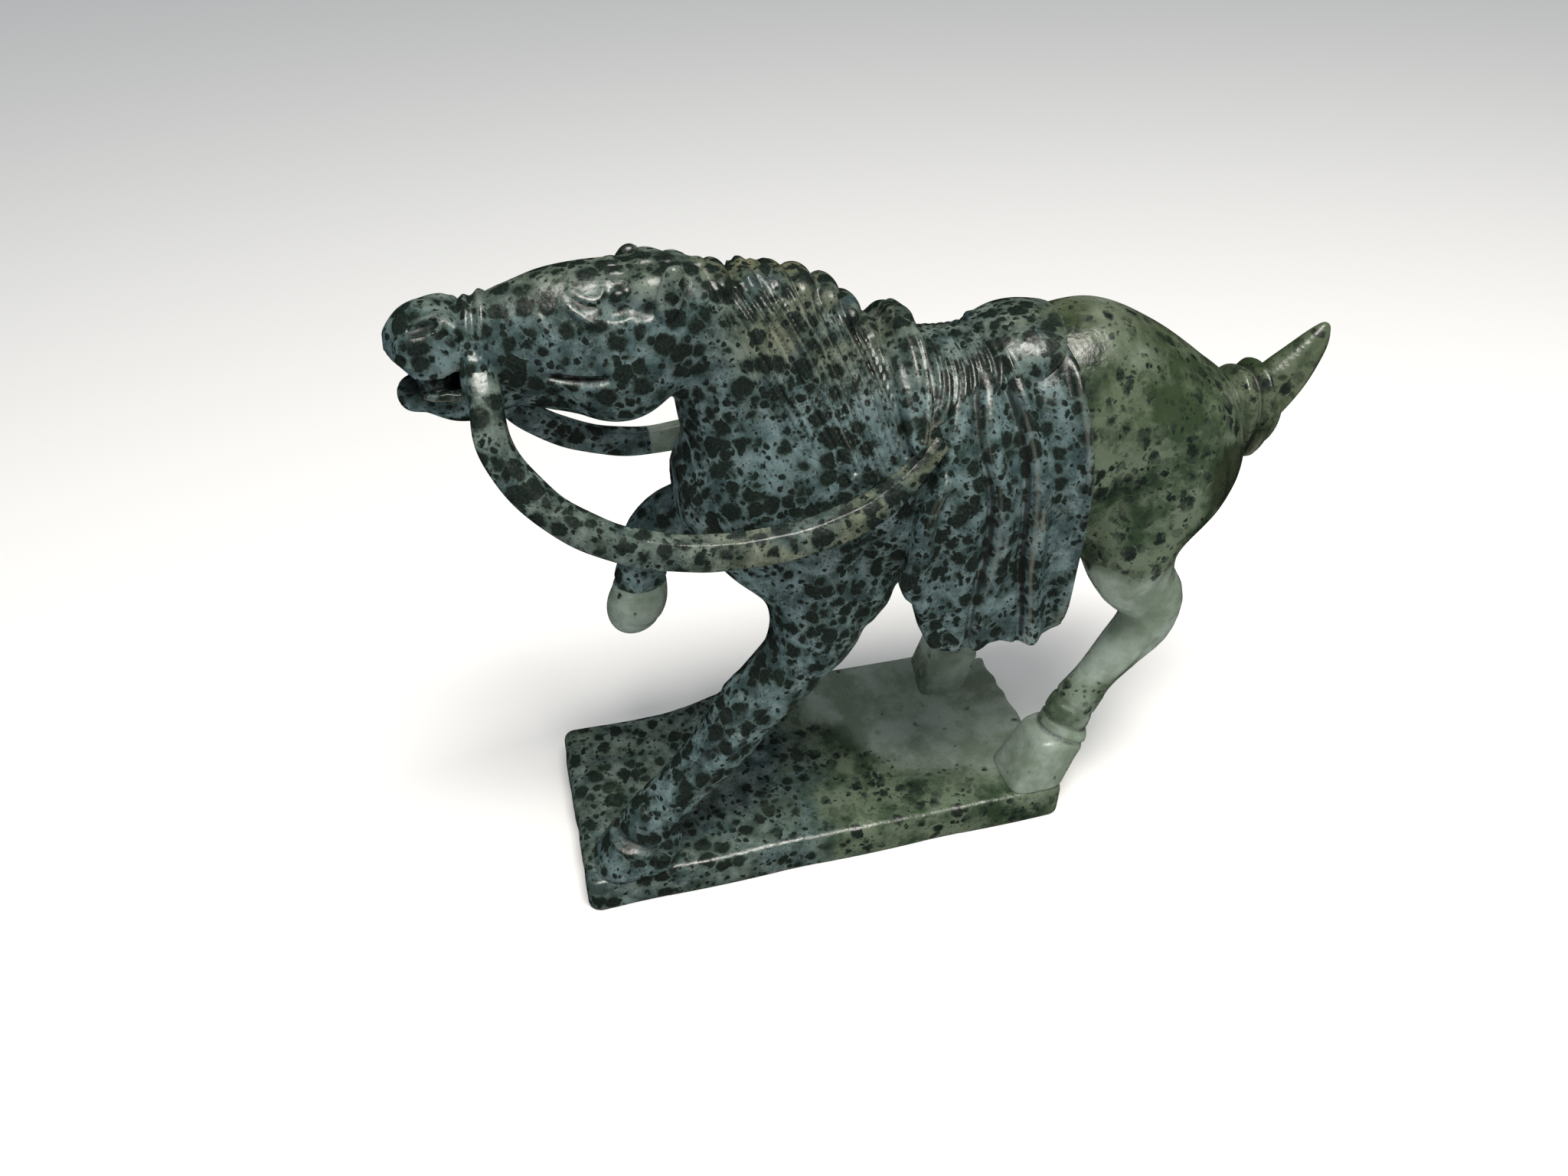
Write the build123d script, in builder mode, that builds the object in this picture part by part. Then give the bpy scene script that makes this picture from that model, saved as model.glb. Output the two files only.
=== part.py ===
"""Jade figurine: a striding horse with open-work reins on a slab plinth.

The horse faces -X and stands on +Z. Its left side is -Y. The origin is the centre of the
plinth's underside. Every region is a closed solid that meets its neighbours face to face.
"""
from build123d import *

import os

os.makedirs("parts", exist_ok=True)

# ---- Driving dimensions, millimetres -------------------------------------------------
plinth_length = 120.0
plinth_width = 53.0
plinth_height = 9.4
plinth_corner = 3.0
plinth_edge = 0.8
bank_height = 4.6
bank_half_width = 11.0

chest_x = -27.0
rump_x = 101.0
barrel_half_width = 22.0
withers_z = 128.0
belly_z = 64.0

muzzle_x = -79.5
head_top_z = 145.0

rein_width = 6.2
rein_thickness = 4.4
rein_bend_radius = 6.0

cloth_thickness = 3.0
cloth_front_x = 13.5
cloth_rear_x = 53.0
cloth_hem_z = 61.5
saddle_thickness = 4.0
saddle_skirt_z = 112.0

mane_half_thickness = 4.5
band_thickness = 1.2


def rings(stations):
    """One elliptical section for each station: centre, axis, half width, half depth."""
    sections = []
    for centre, axis, half_width, half_depth in stations:
        with BuildSketch(Plane(origin=centre, x_dir=(0, 1, 0), z_dir=axis)) as ring:
            Ellipse(half_width, half_depth)
        sections.append(ring.sketch.faces()[0])
    return sections


def level_rings(stations):
    """Level sections for a leg: height, front x, rear x, half width, y of the middle."""
    return rings(
        [((front + rear) / 2, y, z), (0, 0, 1), half_width, (rear - front) / 2]
        for z, front, rear, half_width, y in stations
    )


def upright_rings(stations, extra=0.0):
    """Upright cross sections of the body: x, underside z, top z, half width."""
    return rings(
        [(x, 0, (low + top) / 2), (1, 0, 0), half_width + extra, (top - low) / 2 + extra]
        for x, low, top, half_width in stations
    )


# ---- Plinth: a slab with a low bank of ground along its far edge --------------------------
bank_y = plinth_width / 2 - 4
with BuildPart() as plinth:
    with BuildSketch():
        RectangleRounded(plinth_length, plinth_width, plinth_corner)
    extrude(amount=plinth_height)
    top_edges = plinth.faces().sort_by(Axis.Z)[-1].edges()
    chamfer(top_edges, plinth_edge)
    loft(
        rings(
            [
                [(-34, bank_y, plinth_height - 1), (1, 0, 0), 2.5, 0.9],
                [(-12, bank_y, plinth_height - 1), (1, 0, 0), bank_half_width, bank_height + 0.6],
                [(14, bank_y, plinth_height - 1), (1, 0, 0), bank_half_width, bank_height + 1],
                [(40, bank_y, plinth_height - 1), (1, 0, 0), bank_half_width, bank_height + 1],
                [(56, bank_y, plinth_height - 1), (1, 0, 0), 2.5, 0.9],
            ]
        )
    )
    with BuildSketch():
        RectangleRounded(plinth_length, plinth_width, plinth_corner)
    extrude(amount=plinth_height + 2 * bank_height, mode=Mode.INTERSECT)

# ---- Torso: chest, barrel and croup -----------------------------------------------------
torso_stations = [
    (chest_x, 88, 108, 11),
    (-20, 82, 118, 17.5),
    (-8, 76, 124, 20.5),
    (12, 69, withers_z - 2, barrel_half_width),
    (32, belly_z, withers_z - 4.5, barrel_half_width),
    (50, belly_z + 1, withers_z - 1.5, barrel_half_width),
    (64, 67.5, withers_z - 1, barrel_half_width - 0.5),
    (78, 70.5, 119.5, 20.3),
    (90, 75, 111, 15.5),
    (98, 80, 103.5, 9.5),
    (rump_x, 86, 98, 4),
]
with BuildPart() as torso:
    loft(upright_rings(torso_stations))

# ---- Neck -------------------------------------------------------------------------------
with BuildPart() as neck:
    loft(
        rings(
            [
                [(0, 0, 103), (-0.45, 0, 0.9), 17.5, 24],
                [(-6, 0, 115), (-0.4, 0, 0.92), 15, 20.5],
                [(-11, 0, 126), (-0.4, 0, 0.92), 12.5, 17],
                [(-15, 0, 135), (-0.45, 0, 0.9), 9.5, 13],
                [(-17.5, 0, 140.5), (-0.45, 0, 0.9), 5, 7],
            ]
        )
    )
    add(torso.part, mode=Mode.SUBTRACT)

# ---- Head: skull, cheeks and upper muzzle ------------------------------------------------
mouth_corner = (-64.0, 130.0)
lower_lip = [(-68.0, 128.6), (-77.0, 127.0), (-86.0, 125.5)]
upper_lip = [(-86.0, 136.5), (-76.0, 132.5)]
head_stations = [
    (-18, 127, 141, 6),
    (-24, 121, head_top_z, 10),
    (-34, 117.2, head_top_z + 1, 11.5),
    (-44, 117.2, head_top_z + 1, 11.5),
    (-53, 119.5, head_top_z, 9.5),
    (-62, 120.5, head_top_z - 2.5, 8.5),
    (-71, 120.8, 142.5, 8.3),
    (-76.5, 123.5, 141, 7),
    (muzzle_x, 130, 138.5, 3.5),
]
with BuildPart() as head_blank:
    loft(upright_rings(head_stations))

with BuildPart() as mouth_cut:
    with BuildSketch(Plane.XZ) as mouth_profile:
        with BuildLine():
            Polyline(mouth_corner, *lower_lip, *upper_lip, close=True)
        make_face()
    extrude(amount=20, both=True)

with BuildPart() as jaw_region:
    with BuildSketch(Plane.XZ) as jaw_profile:
        with BuildLine():
            Polyline((-48, 115), (-48, 123.5), mouth_corner, *lower_lip, (-86, 115), close=True)
        make_face()
    extrude(amount=20, both=True)

with BuildPart() as head:
    add(head_blank.part)
    add(jaw_region.part, mode=Mode.SUBTRACT)
    add(mouth_cut.part, mode=Mode.SUBTRACT)
    add(neck.part, mode=Mode.SUBTRACT)
    add(torso.part, mode=Mode.SUBTRACT)

with BuildPart() as lower_jaw:
    add(head_blank.part)
    add(jaw_region.part, mode=Mode.INTERSECT)

# ---- Mane: scalloped crest over the neck --------------------------------------------------
crest_lobes = [(-19, 144.5), (-13.5, 143.6), (-8, 143.2), (-2.5, 142), (3, 139.2), (7.5, 135), (11, 130.5)]
lobe_radius = 4.5
with BuildPart() as mane:
    with BuildSketch(Plane.XZ) as mane_profile:
        with BuildLine():
            Polyline(
                (-24, 142.5),
                (-10, 141.5),
                (1, 138.5),
                (8, 133),
                (14, 125.5),
                (4, 108),
                (-10, 116),
                (-22, 132),
                close=True,
            )
        make_face()
        with Locations([(x, z - lobe_radius) for x, z in crest_lobes]):
            Circle(lobe_radius)
    extrude(amount=mane_half_thickness, both=True)
    for covered in (head, neck, torso):
        add(covered.part, mode=Mode.SUBTRACT)

# ---- Forelock and ears --------------------------------------------------------------------
forelock_half_width = 4.0
with BuildPart() as forelock:
    with BuildSketch(Plane.XZ) as forelock_profile:
        with BuildLine():
            Polyline(
                (-23, 138),
                (-23, 147.2),
                (-30, 148.4),
                (-37, 148.2),
                (-39.5, 141),
                close=True,
            )
        make_face()
    extrude(amount=forelock_half_width, both=True)
    fillet(forelock.edges().filter_by(Axis.Y).group_by(Axis.Z)[-2:], 1.5)
    for covered in (head, neck, mane):
        add(covered.part, mode=Mode.SUBTRACT)

ear_rings = {
    "left_ear": [
        [(-30.5, -7.5, 137), (0, 0, 1), 2.2, 2.4],
        [(-29.2, -9.0, 143), (0, 0, 1), 2.0, 2.4],
        [(-28.2, -8.7, 148.2), (0, 0, 1), 1.1, 1.3],
    ],
    "right_ear": [
        [(-35.0, 7.5, 135), (0, 0, 1), 2.2, 2.8],
        [(-34.3, 8.7, 141.5), (0, 0, 1), 2.0, 2.7],
        [(-33.6, 8.4, 146.2), (0, 0, 1), 1.2, 1.5],
    ],
}
ears = {}
for ear_name, ear_sections in ear_rings.items():
    with BuildPart() as ear:
        loft(rings(ear_sections))
        for covered in (head, neck, forelock):
            add(covered.part, mode=Mode.SUBTRACT)
    ears[ear_name] = ear

# ---- Bridle: a ridged noseband and two free reins -------------------------------------------
noseband_x = -63.5
noseband_width = 4.0
with BuildPart() as noseband:
    loft(
        upright_rings(
            [
                (noseband_x + noseband_width / 2, 120.5, 142.8, 8.6),
                (noseband_x - noseband_width / 2, 120.6, 142.5, 8.6),
            ],
            extra=band_thickness,
        )
    )
    for covered in (head, lower_jaw):
        add(covered.part, mode=Mode.SUBTRACT)
    add(mouth_cut.part, mode=Mode.SUBTRACT)

rein_route = [
    (-62.5, 9.5, 130.5),
    (-63.2, 15.5, 121.5),
    (-57, 20.5, 111.2),
    (-46, 23.3, 102.9),
    (-33, 24.3, 98.2),
    (-19, 24.4, 96.6),
    (-4, 24.4, 98.2),
    (9, 23.8, 104),
    (17, 23.5, 112),
]
far_rein_route = [
    (-62.5, 9.5, 130.5),
    (-62.5, 13.5, 121),
    (-57, 16, 110.5),
    (-47, 18, 102.5),
    (-35, 19, 98.5),
    (-22, 20.5, 98),
    (-6, 22.8, 99),
    (8, 23.5, 103.5),
    (18, 22.5, 111),
]
reins = {}
for rein_name, side, route in (("left_rein", -1, rein_route), ("right_rein", 1, far_rein_route)):
    with BuildPart() as rein:
        with BuildLine() as rein_line:
            FilletPolyline([(x, side * y, z) for x, y, z in route], radius=rein_bend_radius)
        start = rein_line.line @ 0
        with BuildSketch(Plane(origin=start, x_dir=(0, 1, 0), z_dir=rein_line.line % 0)):
            Ellipse(rein_thickness / 2, rein_width / 2)
        sweep()
        for covered in (head, lower_jaw, noseband, neck, torso):
            add(covered.part, mode=Mode.SUBTRACT)
    reins[rein_name] = rein

# ---- Saddle and saddle cloth ------------------------------------------------------------------
with BuildPart() as saddle:
    loft(
        upright_rings(
            [
                (12, 70, 129, barrel_half_width - 1.5),
                (17, 68, withers_z + 3.2, barrel_half_width - 0.5),
                (24, 67, 127, barrel_half_width - 0.2),
                (33, 66, 125.6, barrel_half_width - 0.2),
                (44, 66, 128, barrel_half_width - 0.2),
                (50, 68, 127.6, barrel_half_width - 1),
            ]
        )
    )
    with BuildSketch(Plane.XY.offset(saddle_skirt_z)):
        Rectangle(300, 100)
    extrude(amount=-100, mode=Mode.SUBTRACT)
    for covered in (torso, neck, mane):
        add(covered.part, mode=Mode.SUBTRACT)

cloth_length = cloth_rear_x - cloth_front_x
cloth_middle_x = (cloth_rear_x + cloth_front_x) / 2
with BuildPart() as saddle_cloth:
    with BuildSketch(Plane.YZ.offset(cloth_front_x)):
        with Locations((0, (belly_z + withers_z - 3) / 2)):
            Ellipse(barrel_half_width + cloth_thickness, (withers_z - 3 - belly_z) / 2 + cloth_thickness)
    extrude(amount=cloth_length)
    with BuildSketch(Plane.XY.offset(cloth_hem_z)):
        with Locations((cloth_middle_x, 0)):
            Rectangle(cloth_length, 2 * (barrel_half_width + cloth_thickness))
    extrude(amount=35)
    with BuildSketch(Plane.XY.offset(cloth_hem_z)):
        Rectangle(300, 100)
    extrude(amount=-60, mode=Mode.SUBTRACT)
    with BuildSketch(Plane.XY.offset(cloth_hem_z - 1)):
        with Locations((cloth_middle_x, 0)):
            Rectangle(cloth_length + 2, 2 * (barrel_half_width - 1.5))
    extrude(amount=34, mode=Mode.SUBTRACT)
    for covered in (torso, neck, mane, saddle, *reins.values()):
        add(covered.part, mode=Mode.SUBTRACT)

# ---- Legs and hooves --------------------------------------------------------------------------
leg_stations = {
    "left_foreleg": [
        (92, -23, 8, 4.5, -17),
        (82, -18, 13, 6.5, -17),
        (75, -14, 15, 7, -17),
        (68, -12.5, 10, 7, -17),
        (60, -17, 2.5, 7, -17),
        (52, -25, -5, 7, -17),
        (44, -30, -12.5, 6.8, -17.3),
        (36, -36, -19, 6, -17.6),
        (28, -44, -27, 5.3, -18),
        (22, -49, -33, 5.7, -18.3),
        (17.4, -52, -36, 6.2, -18.5),
    ],
    "left_hind_leg": [
        (96, 68, 82, 4, -17),
        (88, 63, 89, 6.5, -17),
        (79, 60, 92, 7.5, -17),
        (70, 61, 85, 7.5, -17),
        (62, 65, 84, 7, -17),
        (54, 70, 84.5, 6, -17),
        (45, 67, 79.5, 5.3, -17),
        (36, 61.5, 72.8, 4.8, -17.5),
        (29, 57, 68.5, 5.2, -18),
        (23, 53, 65.8, 5.8, -18.3),
    ],
    "right_hind_leg": [
        (96, 66, 80, 4, 15),
        (88, 60, 87, 7, 15),
        (79, 57, 88, 7.5, 15),
        (70, 54.5, 74, 7.5, 15),
        (62, 56, 73, 7, 15.8),
        (54, 60, 73, 6, 16.8),
        (48, 57, 70.5, 5.5, 17.5),
        (42, 53.5, 66, 5, 18.2),
        (36, 48.5, 61, 4.7, 18.8),
        (30, 44.5, 56.5, 5, 19.2),
        (24.5, 40, 53, 5.6, 19.4),
    ],
}
legs = {}
for leg_name, stations in leg_stations.items():
    with BuildPart() as leg:
        loft(level_rings(stations))
        add(torso.part, mode=Mode.SUBTRACT)
        if leg_name == "left_foreleg":
            for covered in (saddle_cloth, reins["left_rein"]):
                add(covered.part, mode=Mode.SUBTRACT)
    legs[leg_name] = leg

slab_z = plinth_height
hoof_soles = {
    "left_fore_hoof": ("left_foreleg", (slab_z, -58, -38, 7.8, -19.2)),
    "left_hind_hoof": ("left_hind_leg", (slab_z, 45.5, 60, 7.6, -18.4)),
    "right_hind_hoof": ("right_hind_leg", (slab_z, 35, 49, 6.5, 19.4)),
}
hooves = {}
for hoof_name, (leg_name, sole) in hoof_soles.items():
    with BuildPart() as hoof:
        loft(level_rings([sole, leg_stations[leg_name][-1]]))
        add(plinth.part, mode=Mode.SUBTRACT)
    hooves[hoof_name] = hoof

raised_y = 12.5
raised_fetlock = [(-37, raised_y, 64.5), (-0.2, 0, -1), 5.5, 6]
with BuildPart() as right_foreleg:
    loft(
        rings(
            [
                [(-10, raised_y, 85), (-1, 0, 0.05), 7, 9],
                [(-21, raised_y, 82.5), (-1, 0, -0.1), 6.8, 8],
                [(-30, raised_y, 79.8), (-1, 0, -0.5), 6.5, 7],
                [(-34.5, raised_y, 75), (-0.45, 0, -1), 6, 6.4],
                [(-36, raised_y, 69.5), (-0.2, 0, -1), 5.2, 5.8],
                raised_fetlock,
            ]
        )
    )
    for covered in (torso, neck, *reins.values()):
        add(covered.part, mode=Mode.SUBTRACT)
legs["right_foreleg"] = right_foreleg

with BuildPart() as right_fore_hoof:
    loft(
        rings(
            [
                raised_fetlock,
                [(-38.4, raised_y, 58.5), (-0.2, 0, -1), 5.8, 6.4],
                [(-39.8, raised_y, 52), (-0.2, 0, -1), 3, 3.2],
            ]
        )
    )
    add(right_foreleg.part, mode=Mode.SUBTRACT)
hooves["right_fore_hoof"] = right_fore_hoof

# ---- Tail: a bound knot and a horn-shaped tip -----------------------------------------------------
with BuildPart() as tail_knot:
    loft(
        rings(
            [
                [(98, 0, 109.5), (0.2, 0, -1), 4, 4.5],
                [(100.5, 0, 104), (0.2, 0, -1), 7, 7.5],
                [(103.5, 0, 95), (0.1, 0, -1), 8, 9],
                [(103.5, 0, 86.5), (0, 0, -1), 6, 6.5],
                [(102, 0, 81), (0, 0, -1), 3, 3.5],
            ]
        )
    )
    add(torso.part, mode=Mode.SUBTRACT)

with BuildPart() as tail_tip:
    loft(
        rings(
            [
                [(105.5, 0, 96.5), (0.7, 0, 0.8), 4.6, 5.6],
                [(110.6, 0, 102.8), (0.65, 0, 0.8), 4.6, 5.6],
                [(114.6, 0, 107.8), (0.6, 0, 0.9), 3.5, 4.3],
                [(118.2, 0, 113.6), (0.4, 0, 1), 1.5, 1.9],
            ]
        )
    )
    for covered in (torso, tail_knot):
        add(covered.part, mode=Mode.SUBTRACT)

# ---- Write one file for each region ------------------------------------------------------------------
regions = {
    "plinth": plinth,
    "torso": torso,
    "neck": neck,
    "mane": mane,
    "forelock": forelock,
    "head": head,
    "lower_jaw": lower_jaw,
    "noseband": noseband,
    "saddle": saddle,
    "saddle_cloth": saddle_cloth,
    "tail_knot": tail_knot,
    "tail_tip": tail_tip,
    **ears,
    **reins,
    **legs,
    **hooves,
}
for region_name, region in regions.items():
    region.part.label = region_name
    export_step(region.part, f"parts/{region_name}.step")
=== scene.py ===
"""Jade horse figurine: every region is sculpted here as a closed mesh and given a stone material."""

import math

import bpy
import numpy as np
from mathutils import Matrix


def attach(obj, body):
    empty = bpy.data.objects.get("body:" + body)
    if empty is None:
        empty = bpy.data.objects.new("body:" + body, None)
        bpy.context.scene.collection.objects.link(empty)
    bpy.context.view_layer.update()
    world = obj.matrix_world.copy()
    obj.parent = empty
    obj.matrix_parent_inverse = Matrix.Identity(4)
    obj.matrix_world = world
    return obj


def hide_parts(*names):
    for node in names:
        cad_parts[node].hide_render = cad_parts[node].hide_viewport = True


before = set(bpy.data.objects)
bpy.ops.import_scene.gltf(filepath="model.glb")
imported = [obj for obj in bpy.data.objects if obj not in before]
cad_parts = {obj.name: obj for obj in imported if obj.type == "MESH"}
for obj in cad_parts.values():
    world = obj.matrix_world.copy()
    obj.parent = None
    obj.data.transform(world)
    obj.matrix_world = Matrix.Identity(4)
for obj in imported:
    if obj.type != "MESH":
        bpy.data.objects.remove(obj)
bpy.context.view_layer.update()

# The sculpt is in millimetres: nose towards -X, left flank towards -Y, Z up from the slab's base.
MM = 0.001
LEFT, RIGHT, BOTH = -1, 1, 0
SIDES = (LEFT, RIGHT)

# ==== clay: signed distance fields in millimetres ====
FAR = 8.0
ADD_REACH, CARVE_REACH = 5.0, 1.5  # how far past its box, besides the blend, a shape is still felt


class Clay:
    """Distance to the surface, sampled on a grid; negative inside."""

    def __init__(self, low, high, step):
        self.low = np.array(low, np.float32)
        self.step = step
        counts = np.ceil((np.array(high) - self.low) / step).astype(int) + 1
        self.axes = [self.low[i] + step * np.arange(counts[i], dtype=np.float32) for i in range(3)]
        self.d = np.full(counts, FAR, np.float32)

    def window(self, low, high):
        """The part of the grid between two corners, and its coordinates."""
        cut = []
        for axis, a, b in zip(self.axes, low, high):
            i = int(np.searchsorted(axis, a))
            j = int(np.searchsorted(axis, b, side="right"))
            cut.append(slice(i, j))
        x, y, z = (axis[s] for axis, s in zip(self.axes, cut))
        return tuple(cut), (x[:, None, None], y[None, :, None], z[None, None, :])

    def grid(self):
        """Coordinates of the whole block."""
        x, y, z = self.axes
        return x[:, None, None], y[None, :, None], z[None, None, :]

    def add(self, shape, blend=2.0):
        low, high, distance = shape
        pad = blend + ADD_REACH
        cut, p = self.window(np.array(low) - pad, np.array(high) + pad)
        self.d[cut] = smooth_min(self.d[cut], distance(*p), blend)

    def add_all(self, shapes):
        for shape, blend in shapes:
            self.add(shape, blend)

    def carve(self, shape, blend=1.0):
        low, high, distance = shape
        pad = blend + CARVE_REACH
        cut, p = self.window(np.array(low) - pad, np.array(high) + pad)
        self.d[cut] = -smooth_min(-self.d[cut], distance(*p), blend)

    def press(self, pattern):
        """Push the surface in where the pattern is positive and out where it is negative."""
        low, high, depth = pattern
        cut, p = self.window(low, high)
        self.d[cut] += depth(*p)

    def chisel(self, strokes, side=BOTH, fade=0.1):
        """Strokes given as points in the side view, width and depth; negative depth raises a ridge."""
        for points, width, depth in strokes:
            self.press(stroke(points, width, depth, side, fade))

    def keep(self, limit, blend):
        """Keep only what lies where the limit is negative."""
        self.d = -smooth_min(-self.d, -np.broadcast_to(limit, self.d.shape), blend)


def smooth_min(a, b, k):
    h = np.maximum(k - np.abs(a - b), 0.0) / k
    return np.minimum(a, b) - h * h * k * 0.25


def tilted(x, z, cx, cz, angle):
    """Coordinates along and across a direction in the side view, angle in degrees from +X."""
    c, s = math.cos(math.radians(angle)), math.sin(math.radians(angle))
    return (x - cx) * c + (z - cz) * s, (z - cz) * c - (x - cx) * s


def oval_distance(terms, radii):
    """Distance to an ellipsoid or elliptic cylinder from its scaled coordinates."""
    k0 = np.sqrt(sum((t / r) ** 2 for t, r in zip(terms, radii)))
    k1 = np.sqrt(sum((t / (r * r)) ** 2 for t, r in zip(terms, radii)))
    small = radii[0]
    for r in radii[1:]:
        small = np.minimum(small, r)
    return (k0 + 1e-3) / (k1 + 1e-3 / small) * (k0 - 1.0)


def egg(centre, radii, pitch=0.0):
    """Ellipsoid, turned in the side view by pitch degrees."""
    cx, cy, cz = centre
    reach = max(radii)

    def distance(x, y, z):
        u, w = tilted(x, z, cx, cz, pitch)
        return oval_distance((u, y - cy, w), radii)

    return np.subtract(centre, reach), np.add(centre, reach), distance


def bone(a, b, ra, rb, flat=1.0):
    """Tapered capsule between two points; flat scales its size across the body."""
    a, b = np.array(a, float), np.array(b, float)
    reach = max(ra, rb)
    run = (b - a) * (1.0, 1.0 / flat, 1.0)
    length2 = float(run @ run)

    def distance(x, y, z):
        px, py, pz = x - a[0], (y - a[1]) / flat, z - a[2]
        t = np.clip((px * run[0] + py * run[1] + pz * run[2]) / length2, 0.0, 1.0)
        gap = np.sqrt((px - t * run[0]) ** 2 + (py - t * run[1]) ** 2 + (pz - t * run[2]) ** 2)
        return (gap - (ra + (rb - ra) * t)) * min(flat, 1.0)

    reach = reach * np.array([1.0, max(flat, 1.0), 1.0])
    return np.minimum(a, b) - reach, np.maximum(a, b) + reach, distance


def smooth_curve(knots, values, at):
    """Smooth interpolation through a few given values."""
    knots, values = np.array(knots, float), np.array(values, float)
    slope = np.gradient(values, knots)
    i = np.clip(np.searchsorted(knots, at) - 1, 0, len(knots) - 2)
    width = knots[i + 1] - knots[i]
    t = np.clip((at - knots[i]) / width, 0.0, 1.0)
    a, b = values[i], values[i + 1]
    t2, t3 = t * t, t * t * t
    return (
        a * (2 * t3 - 3 * t2 + 1)
        + b * (3 * t2 - 2 * t3)
        + width * (slope[i] * (t3 - 2 * t2 + t) + slope[i + 1] * (t3 - t2))
    ).astype(np.float32)


def loft(origin, angle, stations):
    """Body of oval sections along a line in the side view.

    A station is: distance along the line, lowest and highest offset across it, half width.
    """
    along, lows, highs, halves = (list(v) for v in zip(*sorted(stations)))
    reach = max(max(abs(v) for v in lows + highs), abs(along[-1] - along[0]))
    ox, oz = origin
    mid_u = (along[0] + along[-1]) / 2
    c, s = math.cos(math.radians(angle)), math.sin(math.radians(angle))
    mx, mz = ox + mid_u * c, oz + mid_u * s
    box = reach * 1.1

    def distance(x, y, z):
        u, v = tilted(x, z, ox, oz, angle)
        low = smooth_curve(along, lows, u)
        high = smooth_curve(along, highs, u)
        half = np.maximum(smooth_curve(along, halves, u), 0.5)
        d = oval_distance((y, v - (low + high) / 2), (half, np.maximum((high - low) / 2, 0.5)))
        return np.maximum(d, np.maximum(along[0] - u, u - along[-1]))

    return (mx - box, -max(halves), mz - box), (mx + box, max(halves), mz + box), distance


def stroke_gap(points, u, v):
    """Flat distance from (u, v) to a polyline, and how far along it the nearest point is."""
    best = np.full(np.broadcast(u, v).shape, 1e3, np.float32)
    place = np.zeros_like(best)
    spans = [math.dist(a, b) for a, b in zip(points, points[1:])]
    total, done = sum(spans), 0.0
    for (au, av), (bu, bv), span in zip(points, points[1:], spans):
        t = np.clip(((u - au) * (bu - au) + (v - av) * (bv - av)) / (span * span), 0.0, 1.0)
        gap = np.hypot(u - au - t * (bu - au), v - av - t * (bv - av))
        nearer = gap < best
        best = np.where(nearer, gap, best)
        place = np.where(nearer, (done + t * span) / total, place)
        done += span
    return best, place


def curve_through(points, per_span=5):
    """A rounded polyline through given points in the side view."""
    knots = np.concatenate([[0], np.cumsum([math.dist(a, b) for a, b in zip(points, points[1:])])])
    at = np.linspace(0, knots[-1], per_span * (len(points) - 1) + 1)
    columns = [smooth_curve(knots, [p[i] for p in points], at) for i in range(len(points[0]))]
    return [tuple(float(v) for v in row) for row in zip(*columns)]


def stroke(points, width, depth, side, fade):
    """One chisel stroke on one flank or both; fade is the share of its length that each end tapers over."""
    path = curve_through(points) if len(points) > 2 else points
    xs, zs = zip(*points)
    reach = width * 2
    y_low, y_high = {LEFT: (-60, 0), RIGHT: (0, 60), BOTH: (-60, 60)}[side]

    def press(x, y, z):
        gap, place = stroke_gap(path, x, z)
        cut = np.maximum(1.0 - (gap / width) ** 2, 0.0) ** 2
        ends = np.clip(np.minimum(place, 1.0 - place) / fade, 0.0, 1.0)
        return (depth * cut * np.sqrt(ends)).astype(np.float32)

    low = (min(xs) - reach, y_low, min(zs) - reach)
    high = (max(xs) + reach, y_high, max(zs) + reach)
    return low, high, press


# ==== meshing ====
CORNERS = [(i, j, k) for i in (0, 1) for j in (0, 1) for k in (0, 1)]
EDGES = [(a, b) for a in range(8) for b in range(a + 1, 8)
         if sum(p != q for p, q in zip(CORNERS[a], CORNERS[b])) == 1]


def surface(clay):
    """Surface net of a clay block: vertices in millimetres and four-sided faces."""
    d = clay.d
    inside = d < 0
    shape = tuple(n - 1 for n in d.shape)
    count = np.zeros(shape, np.int8)
    for i, j, k in CORNERS:
        count += inside[i:i + shape[0], j:j + shape[1], k:k + shape[2]]
    cells = np.flatnonzero((count > 0) & (count < 8))
    ijk = np.array(np.unravel_index(cells, shape))
    label = np.full(shape, -1, np.int32)
    label.flat[cells] = np.arange(len(cells))
    values = [d[ijk[0] + i, ijk[1] + j, ijk[2] + k] for i, j, k in CORNERS]
    total = np.zeros((len(cells), 3))
    hits = np.zeros(len(cells))
    for a, b in EDGES:
        crossed = (values[a] < 0) != (values[b] < 0)
        t = np.where(crossed, values[a] / np.where(crossed, values[a] - values[b], 1.0), 0.0)
        ca, cb = np.array(CORNERS[a]), np.array(CORNERS[b])
        total += np.where(crossed[:, None], ca + t[:, None] * (cb - ca), 0.0)
        hits += crossed
    verts = (total / hits[:, None] + ijk.T) * clay.step + clay.low
    faces = []
    for axis in range(3):
        one, two = [i for i in range(3) if i != axis]
        if axis == 1:
            one, two = two, one
        lower = [slice(1, n - 1) for n in d.shape]
        upper = list(lower)
        lower[axis] = slice(0, d.shape[axis] - 1)
        upper[axis] = slice(1, d.shape[axis])
        crossed = inside[tuple(lower)] != inside[tuple(upper)]
        at = np.array(np.nonzero(crossed))
        outward = inside[tuple(lower)][crossed]
        at[one] += 1
        at[two] += 1
        corners = []
        for da, db in ((0, 0), (-1, 0), (-1, -1), (0, -1)):
            spot = at.copy()
            spot[one] += da
            spot[two] += db
            corners.append(label[tuple(spot)])
        quads = np.stack(corners, axis=1)
        quads[~outward] = quads[~outward][:, ::-1]
        faces.append(quads)
    return verts, np.concatenate(faces)


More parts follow.
